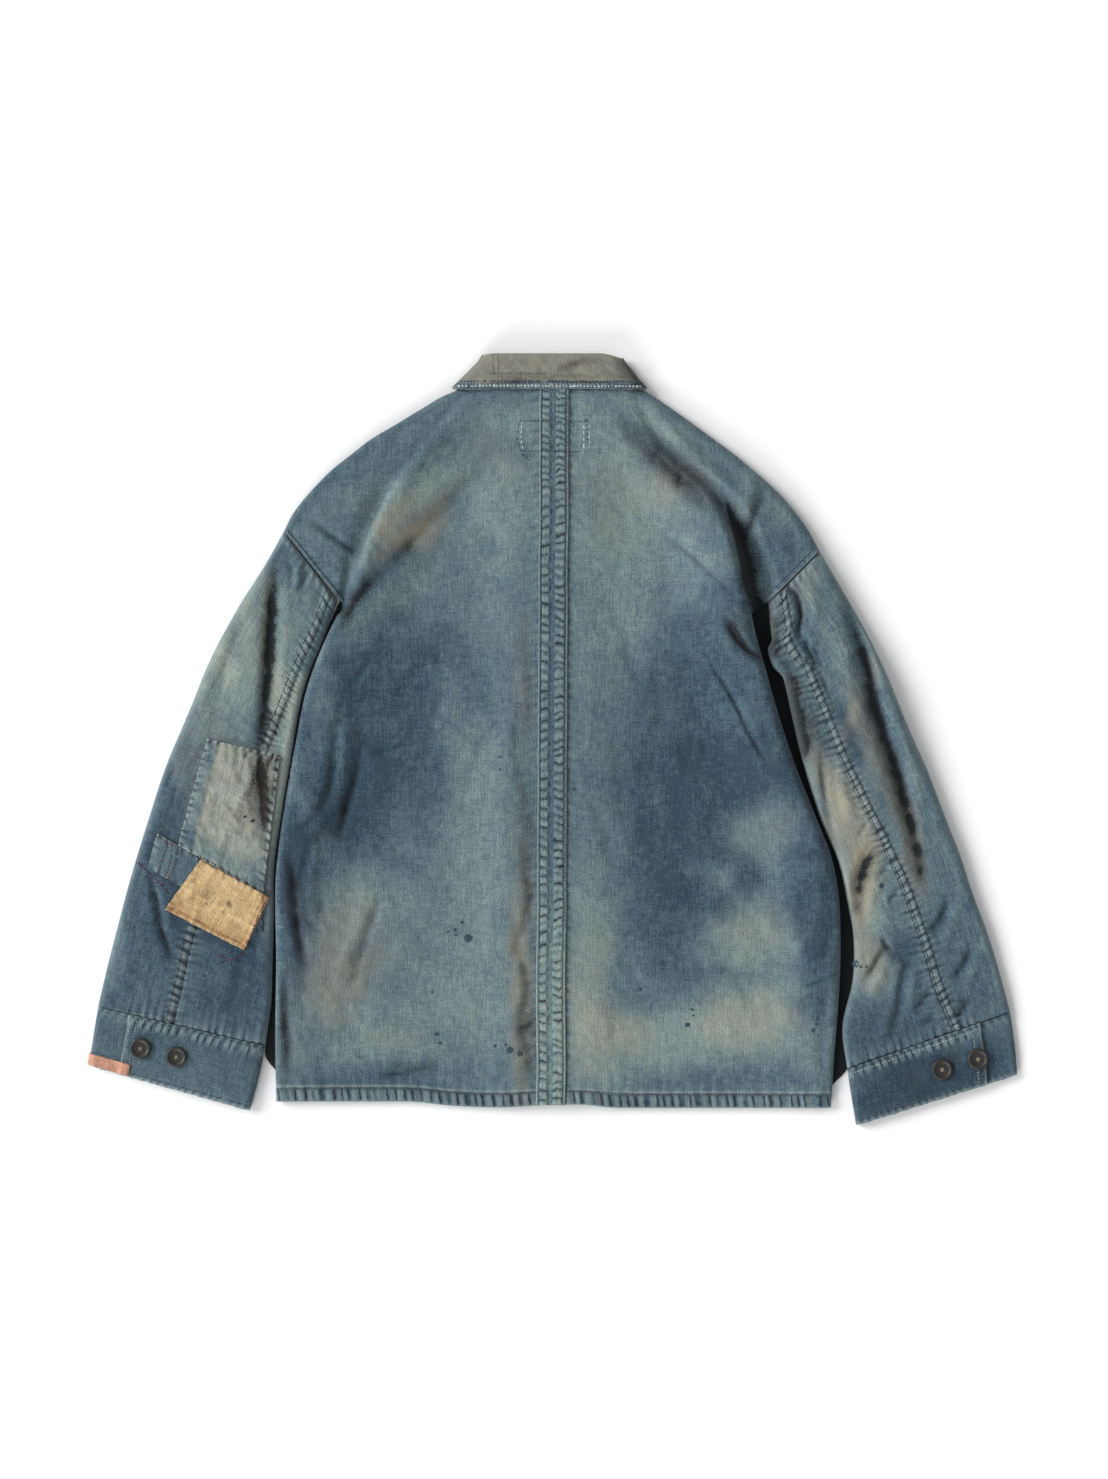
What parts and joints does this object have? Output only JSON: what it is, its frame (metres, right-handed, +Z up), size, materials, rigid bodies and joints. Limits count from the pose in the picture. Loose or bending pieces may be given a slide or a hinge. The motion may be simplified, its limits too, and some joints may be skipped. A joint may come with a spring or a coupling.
{
  "type": "patched work jacket",
  "caption": "Long-sleeved indigo cotton work jacket laid flat with its back up, with a turned-down collar, buttoned cuffs, a felled centre seam and mended sleeve.",
  "frame": {"origin": "centre of the laid-out jacket's footprint, on the surface that it lies on, which is on the centre back seam", "axes": "+Z up out of the back; +Y from the hem to the collar; +X to the wearer's right"},
  "size_m": [0.8823, 0.731, 0.024],
  "materials": {
    "indigo_cloth": "faded and worn indigo cotton",
    "collar_cloth": "bleached-out olive grey cotton",
    "pale_mending_cloth": "pale grey mending cotton",
    "tan_mending_cloth": "stained tan mending cotton",
    "rose_mending_cloth": "frayed rose cotton",
    "dark_button": "dark brown, softly polished"
  },
  "bodies": {
    "root": {"back_left": "indigo_cloth", "back_right": "indigo_cloth", "front_left": "indigo_cloth", "front_right": "indigo_cloth", "outer_sleeve_left": "indigo_cloth", "under_sleeve_left": "indigo_cloth", "outer_sleeve_right": "indigo_cloth", "under_sleeve_right": "indigo_cloth", "cuff_left": "indigo_cloth", "cuff_right": "indigo_cloth", "centre_back_strip": "indigo_cloth", "mending_band_left": "indigo_cloth", "collar": "collar_cloth", "elbow_patch_left": "pale_mending_cloth", "tan_patch_left": "tan_mending_cloth", "cuff_patch_left": "rose_mending_cloth", "cuff_button_left_1": "dark_button", "cuff_button_left_2": "dark_button", "cuff_button_right_1": "dark_button", "cuff_button_right_2": "dark_button", "front_button_1": "dark_button", "front_button_2": "dark_button", "front_button_3": "dark_button", "front_button_4": "dark_button", "front_button_5": "dark_button"}
  },
  "joints": []
}
